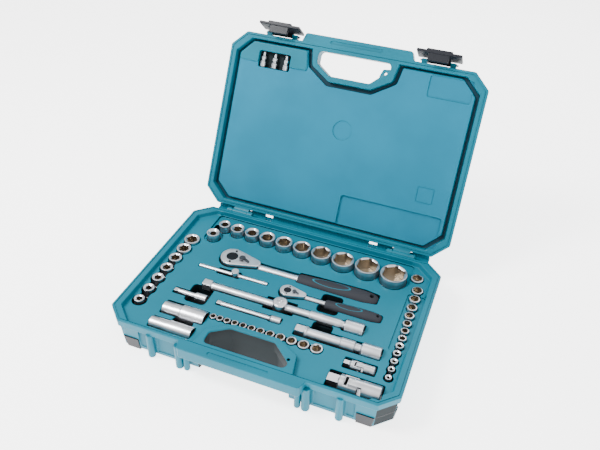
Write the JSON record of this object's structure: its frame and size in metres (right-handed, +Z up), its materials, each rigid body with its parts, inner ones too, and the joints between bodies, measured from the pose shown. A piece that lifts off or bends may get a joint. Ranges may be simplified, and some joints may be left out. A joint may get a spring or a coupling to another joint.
{
  "type": "socket wrench set in case",
  "caption": "Teal blow-moulded carrying case, standing open, with chrome sockets, ratchets, extension bars and universal joints seated in its tray.",
  "frame": {"origin": "on the resting surface under the middle of the base", "axes": "+X to the right along the hinge, +Y from the handle towards the hinge, +Z up"},
  "size_m": [0.43, 0.4881, 0.3404],
  "materials": {
    "case_plastic": "moulded teal plastic",
    "dark_plastic": "moulded dark grey plastic",
    "tool_steel": "satin chrome plated steel",
    "dark_steel": "dark phosphated steel",
    "pin_steel": "bright steel",
    "grip_rubber": "charcoal moulded rubber"
  },
  "bodies": {
    "base": {"base_shell": "case_plastic", "tool_tray": "case_plastic", "corner_feet": "dark_plastic", "hinge_pins": "pin_steel"},
    "lid": {"lid_shell": "case_plastic", "latch_pins": "pin_steel"},
    "latch_left": {"latch_left": "dark_plastic"},
    "latch_right": {"latch_right": "dark_plastic"},
    "adapters": {"lid_adapters": "tool_steel"},
    "half_ratchet": {"half_ratchet_head": "tool_steel", "half_ratchet_cover": "tool_steel", "half_ratchet_screws": "dark_steel", "half_ratchet_grip": "grip_rubber"},
    "half_ratchet_drive": {"half_ratchet_drive_gear": "tool_steel"},
    "half_ratchet_lever": {"half_ratchet_reversing_lever": "tool_steel", "half_ratchet_pawl": "dark_steel"},
    "half_ratchet_button": {"half_ratchet_release_button": "dark_steel"},
    "quarter_ratchet": {"quarter_ratchet_head": "tool_steel", "quarter_ratchet_cover": "tool_steel", "quarter_ratchet_screws": "dark_steel", "quarter_ratchet_grip": "grip_rubber"},
    "quarter_ratchet_drive": {"quarter_ratchet_drive_gear": "tool_steel"},
    "quarter_ratchet_lever": {"quarter_ratchet_reversing_lever": "tool_steel", "quarter_ratchet_pawl": "dark_steel"},
    "quarter_ratchet_button": {"quarter_ratchet_release_button": "dark_steel"},
    "tee_bar": {"tee_bar": "tool_steel"},
    "tee_bar_head": {"tee_bar_head": "tool_steel"},
    "extension_250": {"extension_250": "tool_steel"},
    "sliding_head": {"sliding_head": "tool_steel"},
    "extension_125": {"extension_125": "tool_steel"},
    "quarter_extension_100": {"quarter_extension_100": "tool_steel"},
    "quarter_extension_50": {"quarter_extension_50": "tool_steel"},
    "spark_socket_21": {"spark_socket_21": "tool_steel"},
    "spark_socket_16": {"spark_socket_16": "tool_steel"},
    "half_universal": {"half_universal_drive_fork": "tool_steel"},
    "half_universal_middle": {"half_universal_cross": "tool_steel"},
    "half_universal_end": {"half_universal_socket_fork": "tool_steel"},
    "quarter_universal": {"quarter_universal_drive_fork": "tool_steel"},
    "quarter_universal_middle": {"quarter_universal_cross": "tool_steel"},
    "quarter_universal_end": {"quarter_universal_socket_fork": "tool_steel"},
    "hex_socket_10": {"hex_socket_10": "tool_steel"},
    "hex_socket_11": {"hex_socket_11": "tool_steel"},
    "hex_socket_13": {"hex_socket_13": "tool_steel"},
    "hex_socket_14": {"hex_socket_14": "tool_steel"},
    "hex_socket_17": {"hex_socket_17": "tool_steel"},
    "hex_socket_19": {"hex_socket_19": "tool_steel"},
    "hex_socket_21": {"hex_socket_21": "tool_steel"},
    "hex_socket_24": {"hex_socket_24": "tool_steel"},
    "hex_socket_27": {"hex_socket_27": "tool_steel"},
    "hex_socket_30": {"hex_socket_30": "tool_steel"},
    "hex_socket_32": {"hex_socket_32": "tool_steel"},
    "star_socket_e20": {"star_socket_e20": "tool_steel"},
    "star_socket_e18": {"star_socket_e18": "tool_steel"},
    "star_socket_e16": {"star_socket_e16": "tool_steel"},
    "star_socket_e14": {"star_socket_e14": "tool_steel"},
    "star_socket_e12": {"star_socket_e12": "tool_steel"},
    "star_socket_e11": {"star_socket_e11": "tool_steel"},
    "star_socket_e10": {"star_socket_e10": "tool_steel"},
    "small_sockets_side_row": {"small_sockets_side_row": "tool_steel"},
    "small_sockets_front_row": {"small_sockets_front_row": "tool_steel"}
  },
  "joints": [
    {"name": "lid_hinge", "type": "hinge", "parent": "base", "child": "lid", "pos_m": [0, 0.1546, 0.0508], "axis": [-1, 0, 0], "range_deg": [-118.3, 0]},
    {"name": "latch_left_hinge", "type": "hinge", "parent": "lid", "child": "latch_left", "pos_m": [-0.131, 0.3151, 0.3126], "axis": [-1, 0, 0], "range_deg": [-12, 45]},
    {"name": "latch_right_hinge", "type": "hinge", "parent": "lid", "child": "latch_right", "pos_m": [0.131, 0.3151, 0.3126], "axis": [-1, 0, 0], "range_deg": [-12, 45]},
    {"name": "adapters_lift", "type": "slide", "parent": "lid", "child": "adapters", "axis": [0, -0.8805, 0.4741], "range_m": [0, 0.03]},
    {"name": "half_ratchet_lift", "type": "slide", "parent": "base", "child": "half_ratchet", "axis": [0, 0, 1], "range_m": [0, 0.045]},
    {"name": "half_ratchet_drive_spin", "type": "hinge", "parent": "half_ratchet", "child": "half_ratchet_drive", "pos_m": [-0.103, 0.0435, 0.042], "axis": [0, 0, 1], "continuous": true},
    {"name": "half_ratchet_lever_flip", "type": "hinge", "parent": "half_ratchet", "child": "half_ratchet_lever", "pos_m": [-0.0853, 0.0435, 0.053], "axis": [0, 0, 1], "range_deg": [0, 40]},
    {"name": "half_ratchet_button_press", "type": "slide", "parent": "half_ratchet", "child": "half_ratchet_button", "axis": [0, 0, -1], "range_m": [0, 0.002], "stiffness_N_per_m": 800, "springref_m": -0.0005},
    {"name": "quarter_ratchet_lift", "type": "slide", "parent": "base", "child": "quarter_ratchet", "axis": [0, 0, 1], "range_m": [0, 0.045]},
    {"name": "quarter_ratchet_drive_spin", "type": "hinge", "parent": "quarter_ratchet", "child": "quarter_ratchet_drive", "pos_m": [0.0065, 0.006, 0.046], "axis": [0, 0, 1], "continuous": true},
    {"name": "quarter_ratchet_lever_flip", "type": "hinge", "parent": "quarter_ratchet", "child": "quarter_ratchet_lever", "pos_m": [0.01747, 0.006, 0.05282], "axis": [0, 0, 1], "range_deg": [0, 40]},
    {"name": "quarter_ratchet_button_press", "type": "slide", "parent": "quarter_ratchet", "child": "quarter_ratchet_button", "axis": [0, 0, -1], "range_m": [0, 0.00124], "stiffness_N_per_m": 800, "springref_m": -0.0005},
    {"name": "tee_bar_lift", "type": "slide", "parent": "base", "child": "tee_bar", "axis": [0, 0, 1], "range_m": [0, 0.045]},
    {"name": "tee_bar_head_slide", "type": "slide", "parent": "tee_bar", "child": "tee_bar_head", "axis": [1, 0, 0], "range_m": [-0.022, 0.001]},
    {"name": "extension_250_lift", "type": "slide", "parent": "base", "child": "extension_250", "axis": [0, 0, 1], "range_m": [0, 0.045]},
    {"name": "sliding_head_slide", "type": "slide", "parent": "extension_250", "child": "sliding_head", "axis": [1, 0, 0], "range_m": [-0.012, 0.012]},
    {"name": "extension_125_lift", "type": "slide", "parent": "base", "child": "extension_125", "axis": [0, 0, 1], "range_m": [0, 0.045]},
    {"name": "quarter_extension_100_lift", "type": "slide", "parent": "base", "child": "quarter_extension_100", "axis": [0, 0, 1], "range_m": [0, 0.045]},
    {"name": "quarter_extension_50_lift", "type": "slide", "parent": "base", "child": "quarter_extension_50", "axis": [0, 0, 1], "range_m": [0, 0.045]},
    {"name": "spark_socket_21_lift", "type": "slide", "parent": "base", "child": "spark_socket_21", "axis": [0, 0, 1], "range_m": [0, 0.045]},
    {"name": "spark_socket_16_lift", "type": "slide", "parent": "base", "child": "spark_socket_16", "axis": [0, 0, 1], "range_m": [0, 0.045]},
    {"name": "half_universal_lift", "type": "slide", "parent": "base", "child": "half_universal", "axis": [0, 0, 1], "range_m": [0, 0.045]},
    {"name": "half_universal_pitch", "type": "hinge", "parent": "half_universal", "child": "half_universal_middle", "pos_m": [0.15048, -0.1226, 0.045], "axis": [0, -1, 0], "range_deg": [0, 20]},
    {"name": "half_universal_yaw", "type": "hinge", "parent": "half_universal_middle", "child": "half_universal_end", "pos_m": [0.15048, -0.1226, 0.045], "axis": [0, 0, 1], "range_deg": [-4, 4]},
    {"name": "quarter_universal_lift", "type": "slide", "parent": "base", "child": "quarter_universal", "axis": [0, 0, 1], "range_m": [0, 0.045]},
    {"name": "quarter_universal_pitch", "type": "hinge", "parent": "quarter_universal", "child": "quarter_universal_middle", "pos_m": [0.14809, -0.089, 0.046], "axis": [0, -1, 0], "range_deg": [0, 20]},
    {"name": "quarter_universal_yaw", "type": "hinge", "parent": "quarter_universal_middle", "child": "quarter_universal_end", "pos_m": [0.14809, -0.089, 0.046], "axis": [0, 0, 1], "range_deg": [-4, 4]},
    {"name": "hex_socket_10_lift", "type": "slide", "parent": "base", "child": "hex_socket_10", "axis": [0, 0, 1], "range_m": [0, 0.045]},
    {"name": "hex_socket_11_lift", "type": "slide", "parent": "base", "child": "hex_socket_11", "axis": [0, 0, 1], "range_m": [0, 0.045]},
    {"name": "hex_socket_13_lift", "type": "slide", "parent": "base", "child": "hex_socket_13", "axis": [0, 0, 1], "range_m": [0, 0.045]},
    {"name": "hex_socket_14_lift", "type": "slide", "parent": "base", "child": "hex_socket_14", "axis": [0, 0, 1], "range_m": [0, 0.045]},
    {"name": "hex_socket_17_lift", "type": "slide", "parent": "base", "child": "hex_socket_17", "axis": [0, 0, 1], "range_m": [0, 0.045]},
    {"name": "hex_socket_19_lift", "type": "slide", "parent": "base", "child": "hex_socket_19", "axis": [0, 0, 1], "range_m": [0, 0.045]},
    {"name": "hex_socket_21_lift", "type": "slide", "parent": "base", "child": "hex_socket_21", "axis": [0, 0, 1], "range_m": [0, 0.045]},
    {"name": "hex_socket_24_lift", "type": "slide", "parent": "base", "child": "hex_socket_24", "axis": [0, 0, 1], "range_m": [0, 0.045]},
    {"name": "hex_socket_27_lift", "type": "slide", "parent": "base", "child": "hex_socket_27", "axis": [0, 0, 1], "range_m": [0, 0.045]},
    {"name": "hex_socket_30_lift", "type": "slide", "parent": "base", "child": "hex_socket_30", "axis": [0, 0, 1], "range_m": [0, 0.045]},
    {"name": "hex_socket_32_lift", "type": "slide", "parent": "base", "child": "hex_socket_32", "axis": [0, 0, 1], "range_m": [0, 0.045]},
    {"name": "star_socket_e20_lift", "type": "slide", "parent": "base", "child": "star_socket_e20", "axis": [0, 0, 1], "range_m": [0, 0.045]},
    {"name": "star_socket_e18_lift", "type": "slide", "parent": "base", "child": "star_socket_e18", "axis": [0, 0, 1], "range_m": [0, 0.045]},
    {"name": "star_socket_e16_lift", "type": "slide", "parent": "base", "child": "star_socket_e16", "axis": [0, 0, 1], "range_m": [0, 0.045]},
    {"name": "star_socket_e14_lift", "type": "slide", "parent": "base", "child": "star_socket_e14", "axis": [0, 0, 1], "range_m": [0, 0.045]},
    {"name": "star_socket_e12_lift", "type": "slide", "parent": "base", "child": "star_socket_e12", "axis": [0, 0, 1], "range_m": [0, 0.045]},
    {"name": "star_socket_e11_lift", "type": "slide", "parent": "base", "child": "star_socket_e11", "axis": [0, 0, 1], "range_m": [0, 0.045]},
    {"name": "star_socket_e10_lift", "type": "slide", "parent": "base", "child": "star_socket_e10", "axis": [0, 0, 1], "range_m": [0, 0.045]},
    {"name": "small_sockets_side_row_lift", "type": "slide", "parent": "base", "child": "small_sockets_side_row", "axis": [0, 0, 1], "range_m": [0, 0.035]},
    {"name": "small_sockets_front_row_lift", "type": "slide", "parent": "base", "child": "small_sockets_front_row", "axis": [0, 0, 1], "range_m": [0, 0.035]}
  ]
}
